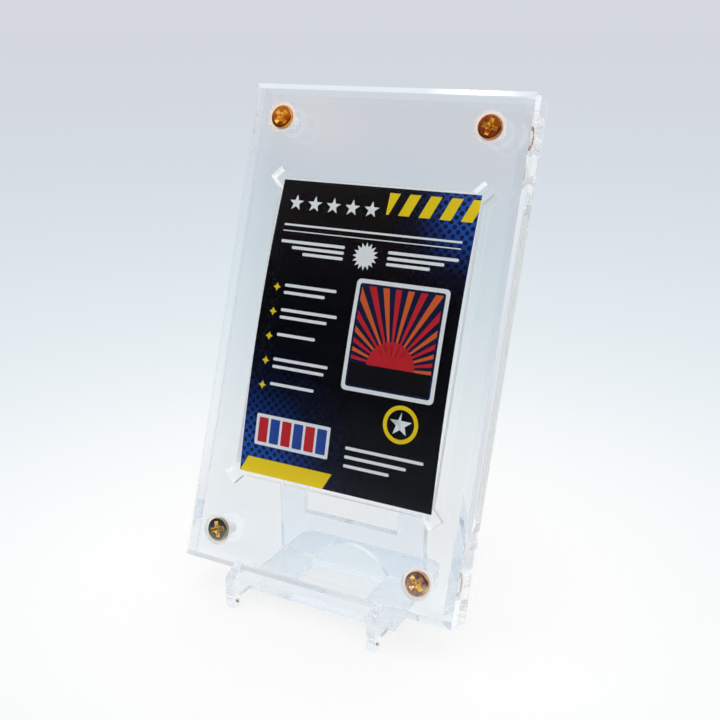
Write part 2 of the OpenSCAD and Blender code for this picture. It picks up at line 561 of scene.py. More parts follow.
@dataclass(frozen=True)
class Ink:
    """Offset ink under a satin varnish on coated card: flat colour with the faint mottle of the press."""

    name: str
    colour: str
    roughness: float = 0.26
    specular: float = 0.25
    mottle_mm: float = 0.6
    mottle_detail: float = 2.0
    mottle: float = 0.05

    def make(self) -> Material:
        """Builds the material."""
        material, tree = new_material(self.name)
        value = add_node(tree, "MapRange", {
            "Value": patches(tree, self.mottle_mm, self.mottle_detail),
            "To Min": 1 - self.mottle, "To Max": 1 + self.mottle,
        })
        colour = add_node(tree, "HueSaturation", {"Color": linear(self.colour), "Value": value})
        ink = add_node(tree, "BsdfPrincipled", {
            "Base Color": colour, "Roughness": self.roughness, "Specular IOR Level": self.specular,
        })
        add_node(tree, "OutputMaterial", {"Surface": ink})
        return material


@dataclass(frozen=True)
class HalftoneGround:
    """Ground of the print: black in the middle, blue with black halftone dots towards its edges."""

    name: str = "halftone_ground_ink"
    # The ground and its dots from where there is no blue to where there is most, by the share of blue
    ground: tuple[tuple[float, str], ...] = (
        (0.0, "#07080D"), (0.4, "#071230"), (0.75, "#0F3278"), (1.0, "#1B52AC"),
    )
    dots: tuple[tuple[float, str], ...] = ((0.0, "#07080D"), (0.5, "#070A18"), (1.0, "#0C1B49"))
    # Nearest dots lie this far apart
    pitch_mm: float = 1.9
    # Radius of a dot, as a share of that
    dot_r: float = 0.36
    # Corners that the blue grows towards, in millimetres from the card's middle, and how far it reaches
    glows: tuple[tuple[float, float, float], ...] = ((-31.75, -44.45, 46.0), (31.75, 40.005, 30.0))
    # Share of that reach where the blue is full
    full_share: float = 0.15
    roughness: float = 0.2
    specular: float = 0.15

    def make(self) -> Material:
        """Builds the material."""
        material, tree = new_material(self.name)
        uv = add_node(tree, "UVMap", uv_map="card_mm")
        glow = self._glow(tree, uv)
        plain, spotted = (
            add_node(tree, "ValToRGB", {"Fac": glow}, stops=stops) for stops in (self.ground, self.dots)
        )
        colour = add_node(
            tree, "Mix", {0: self._dots(tree, uv), 6: plain, 7: spotted}, 2, data_type="RGBA"
        )
        ink = add_node(tree, "BsdfPrincipled", {
            "Base Color": colour, "Roughness": self.roughness, "Specular IOR Level": self.specular,
        })
        add_node(tree, "OutputMaterial", {"Surface": ink})
        return material

    def _dots(self, tree: NodeTree, uv: NodeSocket) -> NodeSocket:
        """Draws a grid of dots, turned by 45 degrees.

        Args:
            tree: the material's node tree.
            uv: place on the card in millimetres.

        Returns:
            1 inside a dot and 0 outside.
        """
        turned = add_node(tree, "Mapping", {
            "Vector": uv, "Rotation": (0, 0, math.radians(45)),
            "Scale": (1 / self.pitch_mm, 1 / self.pitch_mm, 0),
        })
        cell = add_node(tree, "VectorMath", {0: turned}, operation="FRACTION")
        centred = add_node(tree, "VectorMath", {0: cell, 1: (0.5, 0.5, 0.0)}, operation="SUBTRACT")
        reach = add_node(tree, "VectorMath", {0: centred}, "Value", operation="LENGTH")
        return add_node(tree, "Math", {0: reach, 1: self.dot_r}, operation="LESS_THAN")

    def _glow(self, tree: NodeTree, uv: NodeSocket) -> NodeSocket:
        """Makes the share of blue, which grows towards the bottom left and top right corners.

        Args:
            tree: the material's node tree.
            uv: place on the card in millimetres.

        Returns:
            The share, from 0 to 1.
        """
        shares = []
        for x, y, radius in self.glows:
            offset = add_node(tree, "VectorMath", {0: uv, 1: (x, y, 0.0)}, "Value", operation="DISTANCE")
            shares.append(add_node(
                tree, "MapRange",
                {"Value": offset, "From Min": radius * self.full_share, "From Max": radius,
                 "To Min": 1.0, "To Max": 0.0},
                interpolation_type="SMOOTHSTEP",
            ))
        return add_node(tree, "Math", {0: shares[0], 1: shares[1]}, operation="MAXIMUM")


@dataclass(frozen=True)
class StudioSweep:
    """White sweep whose colour holds a painted pool of light: white round the object, falling off to a
    pale grey-blue away from it.
    """

    name: str = "studio_sweep_painted_light_pool"
    # Share of its colour that is seen whatever light falls on it, which keeps the shadows faint
    own_share: float = 0.6
    # Distance from the object in metres, and the sweep's colour there, which paints the pool of light
    # round the object
    stops: tuple[tuple[float, str], ...] = (
        (0.08, "#FFFFFF"), (0.10, "#FBFDFD"), (0.13, "#F7FAFB"), (0.19, "#EDF3F6"), (0.30, "#E3EBF0"),
        (0.49, "#DBE4EA"), (0.90, "#D6DCE4"), (2.20, "#D3D8DF"), (6.0, "#D3D6DE"),
    )

    def make(self) -> Material:
        """Builds the material."""
        material, tree = new_material(self.name)
        place = add_node(tree, "TexCoord", output="Object")
        away = add_node(tree, "VectorMath", {0: place}, "Value", operation="LENGTH")
        reach = self.stops[-1][0]
        share = add_node(tree, "Math", {0: away, 1: reach}, operation="DIVIDE")
        stops = [(distance / reach, colour) for distance, colour in self.stops]
        colour = add_node(tree, "ValToRGB", {"Fac": share}, stops=stops)
        lit = add_node(tree, "BsdfDiffuse", {"Color": colour})
        shown = add_node(tree, "Emission", {"Color": colour, "Strength": 1.0})
        own = add_node(tree, "Math", {0: seen_share(tree), 1: self.own_share}, operation="MULTIPLY")
        paint = add_node(tree, "MixShader", {0: own, 1: lit, 2: shown})
        add_node(tree, "OutputMaterial", {"Surface": paint})
        # Its own share lights nothing, so no light is looked for in it
        material.cycles.emission_sampling = "NONE"
        return material


# ---------------------------------------------------------------------------------------------
# Place of the case
# ---------------------------------------------------------------------------------------------


@dataclass(frozen=True)
class Lean:
    """How the case stands: leaning back, with its bottom front edge over the hooks of the stand."""

    angle_deg: float = 19.3
    case_rise: float = 9.9
    # The hooks reach this far in front of the case's bottom front edge
    hook_reach: float = 4.6

    def floor(self) -> Matrix:
        """Frame on the floor whose y is 0 under the case's bottom front edge, in millimetres."""
        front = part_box("easel_stand")[0][1] / MM
        return Matrix.Translation((0, front + self.hook_reach, 0))

    def case_on_floor(self) -> Matrix:
        """Frame of the case within the frame on the floor."""
        tilt = Matrix.Rotation(-math.radians(self.angle_deg), 4, "X")
        return Matrix.Translation((0, 0, self.case_rise)) @ tilt

    def case(self) -> Matrix:
        """Frame of the case: x across it, y into it and z up its front face, in millimetres."""
        return self.floor() @ self.case_on_floor()


# ---------------------------------------------------------------------------------------------
# Case
# ---------------------------------------------------------------------------------------------


@dataclass
class Plates:
    """Two clear plates of the case: a bevelled front one, and a back one with a recess for the card."""

    lean: Lean
    polished: Material
    drilled: Material
    milled: Material
    width: float = 87.5
    height: float = 144.5
    front_depth: float = 6.35
    back_depth: float = 6.35
    bevel: float = 2.0
    # Each plate gives up this much where they meet, so that a film of air shows between them
    air_film: float = 0.03
    screw_inset_x: float = 11.0
    screw_inset_y: float = 10.2
    counterbore_r: float = 4.5
    counterbore_depth: float = 1.2
    clearance_r: float = 2.05
    tapped_r: float = 1.8
    card_width: float = 63.5
    card_height: float = 88.9
    # Room on each side of the card in its recess
    card_gap: float = 0.6
    recess_depth: float = 3.3
    # Side of the square that is cut out at each corner of the recess
    relief: float = 4.4
    edge_rounding: float = 0.12
    overrun: float = 1.0

    def screw_places(self) -> dict[str, tuple[float, float]]:
        """Gives each screw's axis by the name of its corner, as x and z in the case's frame."""
        x = self.width / 2 - self.screw_inset_x
        low, high = self.screw_inset_y, self.height - self.screw_inset_y
        return {
            "top_left": (-x, high), "top_right": (x, high),
            "bottom_left": (-x, low), "bottom_right": (x, low),
        }

    def build(self) -> list[Object]:
        """Builds both plates and returns them."""
        return [self._front(), self._back()]

    def _front(self) -> Object:
        """Builds the front plate, with its bevel and its counterbored holes."""
        back = self.front_depth - self.air_film
        bm = box((-self.width / 2, 0, 0), (self.width / 2, back, self.height))
        rim = edges_along(bm, "x", y=0) + edges_along(bm, "z", y=0)
        round_edges(bm, rim, self.bevel, segments=1)
        plate = object_from(bm, "acrylic_front_plate", [self.polished, self.drilled, self.milled])
        through = self.front_depth + self.overrun
        for x, z in self.screw_places().values():
            start = (x, -self.overrun, z)
            self._bore(plate, start, self.counterbore_r, self.counterbore_depth + self.overrun)
            self._bore(plate, (x, 0, z), self.clearance_r, through)
        finish_mesh(plate, self.lean.case(), self.edge_rounding)
        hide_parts("front_plate")
        return self._dress(plate)

    def _back(self) -> Object:
        """Builds the back plate, with its recess and its tapped holes."""
        face, back = self.front_depth + self.air_film, self.front_depth + self.back_depth
        bm = box((-self.width / 2, face, 0), (self.width / 2, back, self.height))
        plate = object_from(bm, "acrylic_back_plate", [self.polished, self.drilled, self.milled])
        for cutter in self._recess_cutters():
            combine(plate, cutter)
        depth = self.back_depth + 2 * self.overrun
        for x, z in self.screw_places().values():
            self._bore(plate, (x, self.front_depth - self.overrun, z), self.tapped_r, depth)
        finish_mesh(plate, self.lean.case(), self.edge_rounding)
        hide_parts("back_plate")
        return self._dress(plate)

    def _recess_cutters(self) -> list[Object]:
        """Makes the cutters of the recess: its rectangle, and a square on its point at each corner.

        They leave a polished floor and milled walls.
        """
        half_w, half_h = self.card_width / 2 + self.card_gap, self.card_height / 2 + self.card_gap
        middle = self.height / 2
        near, far = self.front_depth - self.overrun, self.front_depth + self.recess_depth
        side = self.relief / 2
        shapes = [(half_w, half_h, Matrix.Translation((0, 0, middle)))]
        for x in (-half_w, half_w):
            for z in (-half_h, half_h):
                corner = Matrix.Translation((x, 0, middle + z)) @ Matrix.Rotation(math.radians(45), 4, "Y")
                shapes.append((side, side, corner))
        cutters = []
        for reach_x, reach_z, place in shapes:
            bm = box((-reach_x, near, -reach_z), (reach_x, far, reach_z))
            bm.transform(place)
            bm.normal_update()
            for face in bm.faces:
                face.material_index = 0 if round(abs(face.normal.y)) else 1
            cutters.append(object_from(bm, "recess_cutter", [self.polished, self.milled]))
        return cutters

    def _bore(self, plate: Object, start: Sequence[float], radius: float, depth: float) -> None:
        """Drills one frosted hole into a plate.

        Args:
            plate: plate to drill.
            start: centre of the drill's first end.
            radius: the hole's radius.
            depth: how far the drill goes from its start.
        """
        drill = disc_column(bmesh.new(), radius, start, depth, Axis.INTO_CASE)
        combine(plate, object_from(drill, "drill", [self.drilled]))

    def _dress(self, plate: Object) -> Object:
        """Puts a plate on the case's body and returns it."""
        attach(plate, "case")
        return plate


class ScrewToneAndReflection(Enum):
    """Tints of each screw's plating, set screw by screw to how each head looks where it stands: partly the
    plating's own varied tints, partly painted reflection of what the head mirrors. Main colour, second
    tint, darkest tint, and inside the cross.
    """

    TOP_LEFT = ("#E39A40", "#EFB25A", "#C9822F", "#F4BC54")
    TOP_RIGHT = ("#C87C4C", "#DA9C58", "#A05C3C", "#E0B048")
    BOTTOM_LEFT = ("#A89A80", "#A8AE80", "#988C88", "#F6CC6C")
    BOTTOM_RIGHT = ("#C89A78", "#E4C098", "#8C7484", "#FFDC8C")


@dataclass
class MachineScrew:
    """Pan head machine screw with a cross recess and a threaded shank, sunk in a counterbore.

    It is built with its crown at z = 0 and its tip up.
    """

    corner: str
    turn_deg: float
    x: float
    z: float
    lean: Lean
    plating: Material
    recess: Material
    head_r: float = 3.45
    head_h: float = 1.2
    # The top is nearly flat inside its rounded rim
    crown_h: float = 0.05
    rim_round: float = 0.35
    crown_steps: int = 10
    rim_steps: int = 8
    turn_steps: int = 96
    cross_w: float = 4.8
    cross_depth: float = 0.9
    slot_w: float = 1.25
    slot_floor_w: float = 0.4
    # The cross's wings are this share as long at its floor as at the crown
    floor_length: float = 0.55
    # Their cutters start this far above the crown
    slot_rise: float = 0.3
    # Cone in the cross's middle, whose cutter goes this far past the crown and the floor
    socket_r: float = 1.4375
    socket_floor_r: float = 0.24
    socket_sides: int = 8
    socket_overrun: float = 0.2
    # Punching rounds the cross's sharp edges by this much, down to this share of its depth
    punch_round: float = 0.1
    punch_depth: float = 0.8
    punch_crease_deg: float = 32.0
    # Edges this near the head's rim aren't the cross's
    rim_margin: float = 0.5
    core_r: float = 1.38
    shank_l: float = 10.5
    shank_sides: int = 48
    # The shank starts this far inside the head
    shank_bite: float = 0.1
    tip_l: float = 0.6
    tip_taper: float = 0.5
    thread_r: float = 1.72
    thread_pitch: float = 0.8
    # The thread starts this far from the head, and leaves this much of the shank's length plain
    thread_start: float = 0.3
    plain_l: float = 1.2
    # Width of the thread's foot as a share of the pitch, and of its crest as a share of its foot
    thread_foot: float = 0.84
    thread_crest: float = 0.12
    # The thread's foot lies this deep in the shank
    thread_bite: float = 0.15
    thread_steps: int = 32
    sharp_deg: float = 35.0

    def build(self) -> Object:
        """Builds the screw and returns it."""
        head = object_from(self._head(), "brass_screw_" + self.corner, [self.plating, self.recess])
        for cutter in (self._slot(0), self._slot(90), self._socket()):
            combine(head, object_from(cutter, "cross_cutter", [self.recess]))
        self._soften(head)
        self._add_shank(head)
        self._unwrap(head)
        place = (
            self.lean.case() @ Matrix.Translation((self.x, 0, self.z))
            @ Matrix.Rotation(math.radians(-90), 4, "X")
            @ Matrix.Rotation(-math.radians(self.turn_deg), 4, "Z")
        )
        settle(head, place, self.sharp_deg)
        node = "screw_" + self.corner
        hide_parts(node)
        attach(head, node)
        return head

    def _head(self) -> BMesh:
        """Turns the domed head from its half outline, crown at z = 0 and seat at its height."""
        edge_r = self.head_r - self.rim_round
        dome_r = (edge_r ** 2 + self.crown_h ** 2) / (2 * self.crown_h)
        outline = [(0.0, 0.0)]
        for i in range(1, self.crown_steps + 1):
            r = edge_r * i / self.crown_steps
            outline.append((r, dome_r - math.sqrt(dome_r ** 2 - r ** 2)))
        for i in range(1, self.rim_steps + 1):
            a = math.radians(90 * i / self.rim_steps)
            outline.append((
                edge_r + self.rim_round * math.sin(a), self.crown_h + self.rim_round * (1 - math.cos(a))
            ))
        outline += [(self.head_r, self.head_h), (0.0, self.head_h)]
        bm = bmesh.new()
        verts = [bm.verts.new((r, 0, z)) for r, z in outline]
        edges = [bm.edges.new(pair) for pair in zip(verts, verts[1:])]
        bmesh.ops.spin(
            bm, geom=verts + edges, cent=(0, 0, 0), axis=(0, 0, 1), angle=2 * math.pi,
            steps=self.turn_steps, use_merge=True,
        )
        bmesh.ops.remove_doubles(bm, verts=bm.verts, dist=WELD)
        bmesh.ops.recalc_face_normals(bm, faces=bm.faces)
        return bm

    def _slot(self, angle: float) -> BMesh:
        """Makes the cutter of one tapered wing pair of the cross.

        Args:
            angle: turn of the pair about the screw's axis, in degrees.

        Returns:
            The cutter's mesh.
        """
        half_l, half_w = self.cross_w / 2, self.slot_w / 2
        bm = box((-half_l, -half_w, -self.slot_rise), (half_l, half_w, self.cross_depth))
        for v in bm.verts:
            share = v.co.z / self.cross_depth
            v.co.x *= 1 - (1 - self.floor_length) * share
            v.co.y *= 1 - (1 - self.slot_floor_w / self.slot_w) * share
        bm.transform(Matrix.Rotation(math.radians(angle), 4, "Z"))
        return bm

    def _socket(self) -> BMesh:
        """Makes the cutter of the socket in the middle of the cross."""
        return disc_column(
            bmesh.new(), self.socket_r, (0, 0, -self.socket_overrun),
            self.cross_depth + 2 * self.socket_overrun, Axis.UP, self.socket_sides, self.socket_floor_r,
        )

    def _soften(self, head: Object) -> None:
        """Rounds the edges of the cross, as punching leaves them.

        Args:
            head: the screw's head.
        """
        bm = bmesh.new()
        bm.from_mesh(head.data)
        bmesh.ops.remove_doubles(bm, verts=bm.verts, dist=WELD)
        edges = [
            e for e in creases(bm, self.punch_crease_deg)
            if max(v.co.xy.length for v in e.verts) < self.head_r - self.rim_margin
            and max(v.co.z for v in e.verts) < self.cross_depth * self.punch_depth
        ]
        round_edges(bm, edges, self.punch_round, 2, clamp=True)
        bm.to_mesh(head.data)
        bm.free()

    def _add_shank(self, head: Object) -> None:
        """Adds the shank's core and its helical thread.

        Args:
            head: the screw's head, which takes them.
        """
        bm = bmesh.new()
        bm.from_mesh(head.data)
        start, cone = self.head_h - self.shank_bite, self.head_h + self.shank_l - self.tip_l
        disc_column(bm, self.core_r, (0, 0, start), cone - start, Axis.UP, self.shank_sides)
        disc_column(
            bm, self.core_r, (0, 0, cone), self.tip_l, Axis.UP, self.shank_sides,
            self.core_r - self.tip_taper,
        )
        foot = self.thread_pitch * self.thread_foot
        low, high = (foot * (1 + side * self.thread_crest) / 2 for side in (-1, 1))
        root_r, base = self.core_r - self.thread_bite, self.head_h + self.thread_start
        ridge = ((root_r, 0.0), (root_r, foot), (self.thread_r, high), (self.thread_r, low))
        profile = bm.faces.new([bm.verts.new((r, 0, base + z)) for r, z in ridge])
        turns = int((self.shank_l - self.plain_l) / self.thread_pitch)
        bmesh.ops.spin(
            bm, geom=[profile], cent=(0, 0, 0), axis=(0, 0, 1), angle=2 * math.pi * turns,
            steps=turns * self.thread_steps, dvec=(0, 0, self.thread_pitch / self.thread_steps),
            use_duplicate=False,
        )
        bmesh.ops.recalc_face_normals(bm, faces=bm.faces)
        bm.to_mesh(head.data)
        bm.free()

    def _unwrap(self, head: Object) -> None:
        """Gives the screw a map whose units are millimetres from its axis, for its turning marks.

        Args:
            head: the whole screw.
        """
        layer = head.data.uv_layers.new(name="lathe")
        for loop in head.data.loops:
            layer.data[loop.index].uv = head.data.vertices[loop.vertex_index].co.xy


# ---------------------------------------------------------------------------------------------
# Insert card
# ---------------------------------------------------------------------------------------------


def bar(bm: BMesh, low: Sequence[float], high: Sequence[float], corner: float = 0.0) -> list[BMVert]:
    """Draws a flat box, with rounded corners where they have a radius.

    Args:
        bm: flat mesh that takes it.
        low: its lower left corner.
        high: its upper right corner.
        corner: radius of its corners, or 0.

    Returns:
        Its four corners before they are rounded.
    """
    corner_steps = 5
    middle = Matrix.Translation(((low[0] + high[0]) / 2, (low[1] + high[1]) / 2, 0))
    size = Matrix.Diagonal((high[0] - low[0], high[1] - low[1], 1, 1))
    verts = bmesh.ops.create_grid(bm, x_segments=1, y_segments=1, size=0.5, matrix=middle @ size)["verts"]
    if corner > 0:
        bmesh.ops.bevel(
            bm, geom=verts, offset=corner, offset_type="OFFSET", affect="VERTICES",
            segments=corner_steps, profile=0.5, material=-1,
        )
    return verts


def parallelogram(bm: BMesh, low: Sequence[float], high: Sequence[float], slant: float) -> None:
    """Draws a flat box whose top is pushed to the right.

    Args:
        bm: flat mesh that takes it.
        low: its lower left corner.
        high: its upper right corner before it is slanted.
        slant: how far its top is pushed.
    """
    for v in bar(bm, low, high):
        if v.co.y > (low[1] + high[1]) / 2:
            v.co.x += slant


def star(bm: BMesh, middle: Sequence[float], outer: float, inner: float, points: int) -> None:
    """Draws a flat star, point up, or a disc where both radii are the same.

    Args:
        bm: flat mesh that takes it.
        middle: its centre.
        outer: radius of its points.
        inner: radius of the notches between them.
        points: number of points.
    """
    verts = bmesh.ops.create_circle(bm, cap_ends=True, radius=1.0, segments=2 * points)["verts"]
    for i, v in enumerate(verts):
        angle = math.pi / 2 + math.pi * i / points
        radius = outer if i % 2 == 0 else inner
        v.co = (middle[0] + radius * math.cos(angle), middle[1] + radius * math.sin(angle), 0)


def ring(bm: BMesh, middle: Sequence[float], outer: float, inner: float) -> None:
    """Draws a flat ring.

    Args:
        bm: flat mesh that takes it.
        middle: its centre.
        outer: its outer radius.
        inner: its inner radius.
    """
    place = Matrix.Translation((middle[0], middle[1], 0))
    loops = []
    for radius in (outer, inner):
        made = bmesh.ops.create_circle(bm, cap_ends=False, radius=radius, segments=48, matrix=place)
        loops += [e for e in bm.edges if e.verts[0] in made["verts"] and e.verts[1] in made["verts"]]
    bmesh.ops.bridge_loops(bm, edges=loops)


@dataclass
class InsertCard:
    """Printed insert in the recess: a coated card with a generic sports design in flat inks.

    The loose card bows: its top and bottom edges stand on the recess's floor, and its middle comes
    forward. The print is drawn flat, in millimetres from the card's middle.
    """

    lean: Lean
    plates: Plates
    thickness: float = 0.4
    # Air behind the card's top and bottom edges
    air: float = 0.05
    # Each ink lies this much higher than the one under it
    ink_lift: float = 0.02
    ink_depth: float = 0.01
    # Where the loose card lies, from the middle of its recess
    shift_across: float = -0.5
    shift_up: float = 0.3
    bow: float = 2.6
    # Level strips that the bowed card is folded from
    strips: int = 26

    def build(self) -> list[Object]:
        """Builds the card and its inks."""
        return [self._stock()] + self._inks()

    def face_frame(self) -> Matrix:
        """Gives the frame of the printed face: x across, y up and z out of it, from its middle."""
        p = self.plates
        depth = p.front_depth + p.recess_depth - self.air - self.thickness
        middle = (self.shift_across, depth, p.height / 2 + self.shift_up)
        return self.lean.case() @ Matrix.Translation(middle) @ Matrix.Rotation(math.radians(90), 4, "X")

    def _bend(self, bm: BMesh) -> None:
        """Cuts a flat mesh into level strips and bends it to the card's bow.

        Args:
            bm: mesh in the frame of the printed face, where z = 0 is the face.
        """
        height = self.plates.card_height
        # A notched face, such as a star's, is only cut right in triangles
        bmesh.ops.triangulate(bm, faces=bm.faces[:])
        for i in range(1, self.strips):
            cut_along(bm, (0, height * (i / self.strips - 0.5), 0), (0, 1, 0), clear=False)
        # The card's back is part of a wide tube, whose axis lies level behind it
        tube_r = ((height / 2) ** 2 + self.bow ** 2) / (2 * self.bow)
        axis_z = self.bow - tube_r - self.thickness
        for v in bm.verts:
            own_r = tube_r + self.thickness + v.co.z
            v.co.z = axis_z + math.sqrt(own_r ** 2 - v.co.y ** 2)
        bm.normal_update()

    def _stock(self) -> Object:
        """Builds the card itself, with its black ground in front and bare paper behind."""
        half_w, half_h = self.plates.card_width / 2, self.plates.card_height / 2
        bm = box((-half_w, -half_h, -self.thickness), (half_w, half_h, 0))
        paper = Ink("coated_card_stock", "#EEF0F0", roughness=0.5, mottle_mm=0.4, mottle=0.03).make()
        ground = HalftoneGround().make()
        layer = bm.loops.layers.uv.new("card_mm")
        for face in bm.faces:
            face.material_index = 1 if round(face.normal.z) == 1 else 0
            for loop in face.loops:
                loop[layer].uv = loop.vert.co.xy
        self._bend(bm)
        card = object_from(bm, "printed_insert_card", [paper, ground])
        finish_mesh(card, self.face_frame())
        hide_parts("insert_card")
        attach(card, "case")
        return card

    def _inks(self) -> list[Object]:
        """Builds each ink's motifs as one thin piece."""
        layers = (
            ("insert_yellow_ink", Ink("process_yellow_ink", "#F6D40C"), 1, self._yellow),
            ("insert_white_ink", Ink("opaque_white_ink", "#F2F4F6"), 1, self._white),
            ("insert_sky_ink", Ink("deep_blue_ink", "#0E1A3E"), 2, self._sky),
            ("insert_orange_ink", Ink("warm_orange_ink", "#D9602A"), 3, self._orange),
            ("insert_red_ink", Ink("signal_red_ink", "#C9202B"), 4, self._red),
            ("insert_blue_ink", Ink("reflex_blue_ink", "#23489F"), 4, self._blue),
            ("insert_black_ink", Ink("overprint_black_ink", "#0B0B10"), 5, self._black),
        )
        return [self._layer(*layer) for layer in layers]

    def _layer(self, name: str, ink: Ink, level: int, draw: Callable[[BMesh], None]) -> Object:
        """Builds one ink's piece.

        Args:
            name: the piece's name.
            ink: its finish.
            level: how many inks lie under it, itself included.
            draw: method that draws its motifs.

        Returns:
            The piece.
        """
        bm = bmesh.new()
        draw(bm)
        push_out(bm, bm.faces[:], (0, 0, self.ink_depth))
        bmesh.ops.translate(bm, vec=(0, 0, level * self.ink_lift), verts=bm.verts[:])
        self._bend(bm)
        piece = object_from(bm, name, [ink.make()])
        settle(piece, self.face_frame())
        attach(piece, "case")
        return piece

    def _yellow(self, bm: BMesh) -> None:
        """Draws the hazard stripes, the ribbon at the foot, the badge's ring and the list's marks."""
        self._stripes(bm, (4.0, 36.6), (31.75, 43.0), 3.4, 6.4, 2.6)
        parallelogram(bm, (-31.75, -44.45), (-3.0, -39.6), 2.6)
        ring(bm, (19.2, -21.5), 5.4, 4.2)
        for row in self._rows():
            star(bm, (-27.2, row), 1.25, 0.62, 4)

    def _stripes(
        self, bm: BMesh, low: Sequence[float], high: Sequence[float], width: float, pitch: float,
        slant: float,
    ) -> None:
        """Draws slanted stripes that fill a band.

        Args:
            bm: flat mesh that takes them.
            low: lower left corner of the band.
            high: upper right corner of the band.
            width: width of a stripe.
            pitch: distance from stripe to stripe.
            slant: how far a stripe's top lies to the right of its foot.
        """
        own = bmesh.new()
        x = low[0] - slant
        while x < high[0]:
            parallelogram(own, (x, low[1]), (x + width, high[1]), slant)
            x += pitch
        cut_along(own, (low[0], 0, 0), (-1, 0, 0))
        cut_along(own, (high[0], 0, 0), (1, 0, 0))
        join(own, bm)

    def _rows(self) -> list[float]:
        """Gives the height of each row of the list on the left of the panel."""
        top, step, count = 12.0, 7.4, 5
        return [top - step * i for i in range(count)]

    def _white(self, bm: BMesh) -> None:
        """Draws the stars, the rules, the list's bars, the panel's mount and the strip at the foot."""
        for i in range(5):
            star(bm, (-26.0 + 6.3 * i, 37.6), 2.5, 1.02, 5)
        bar(bm, (-28.6, 30.6), (28.6, 31.2))
        bar(bm, (-28.6, 28.9), (28.6, 29.2))
        star(bm, (0.0, 24.0), 4.1, 2.75, 16)
        for side in (-1, 1):
            for reach, height in ((28.6, 25.4), (24.6, 23.7), (20.6, 22.0)):
                inner, outer = sorted((side * 7.0, side * reach))
                bar(bm, (inner, height), (outer, height + 0.9), 0.4)
        lengths = ((17.5, 14.0), (19.0, 16.0), (13.0, 0.0), (18.5, 17.5), (15.0, 0.0))
        for row, (first, second) in zip(self._rows(), lengths):
            bar(bm, (-24.6, row + 0.35), (-24.6 + first, row + 1.25), 0.4)
            if second:
                bar(bm, (-24.6, row - 1.85), (-24.6 + second, row - 0.95), 0.4)
        bar(bm, (-1.0, -14.6), (28.0, 17.6), 1.4)
        bar(bm, (-27.6, -35.6), (-2.4, -26.2), 0.5)
        star(bm, (19.2, -21.5), 3.5, 1.45, 5)
        for i in range(3):
            bar(bm, (3.0, -31.5 - 2.6 * i), (27.6 - 5.0 * i, -30.6 - 2.6 * i), 0.4)

    def _sky(self, bm: BMesh) -> None:
        """Draws the night sky of the panel."""
        bar(bm, (0.2, -13.4), (26.8, 16.4), 0.8)

    def _orange(self, bm: BMesh) -> None:
        """Draws every second ray of the panel's rising sun."""
        self._rays(bm, 0)

    def _red(self, bm: BMesh) -> None:
        """Draws the panel's sun, its other rays and the first marks on the strip at the foot."""
        self._rays(bm, 1)
        own = bmesh.new()
        star(own, (13.5, -6.5), 7.4, 7.4, 24)
        cut_along(own, (0, -7.0, 0), (0, -1, 0))
        join(own, bm)
        self._marks(bm, 0)

    def _blue(self, bm: BMesh) -> None:
        """Draws the other marks on the strip at the foot."""
        self._marks(bm, 1)

    def _black(self, bm: BMesh) -> None:
        """Draws the dark foreground of the panel."""
        bar(bm, (0.9, -12.7), (26.1, -6.5))

    def _rays(self, bm: BMesh, first: int) -> None:
        """Draws every second ray of a fan from the foot of the panel, cut to its frame.

        Args:
            bm: flat mesh that takes them.
            first: number of the first ray.
        """
        count, reach, foot = 18, 40.0, (13.5, -6.5)
        own = bmesh.new()
        for i in range(first, count, 2):
            angles = (math.pi * i / count, math.pi * (i + 0.5) / count)
            tips = [(foot[0] + reach * math.cos(a), foot[1] + reach * math.sin(a), 0) for a in angles]
            own.faces.new([own.verts.new(p) for p in ((foot[0], foot[1], 0), *tips)])
        for x, y, nx, ny in ((0.9, 0, -1, 0), (26.1, 0, 1, 0), (0, 15.7, 0, 1), (0, -12.7, 0, -1)):
            cut_along(own, (x, y, 0), (nx, ny, 0))
        join(own, bm)

    def _marks(self, bm: BMesh, first: int) -> None:
        """Draws every second mark on the strip at the foot.

        Args:
            bm: flat mesh that takes them.
            first: number of the first mark.
        """
        for i in range(first, 6, 2):
            bar(bm, (-26.6 + 4.0 * i, -34.6), (-23.4 + 4.0 * i, -27.2), 0.3)


# ---------------------------------------------------------------------------------------------
# Stand
# ---------------------------------------------------------------------------------------------


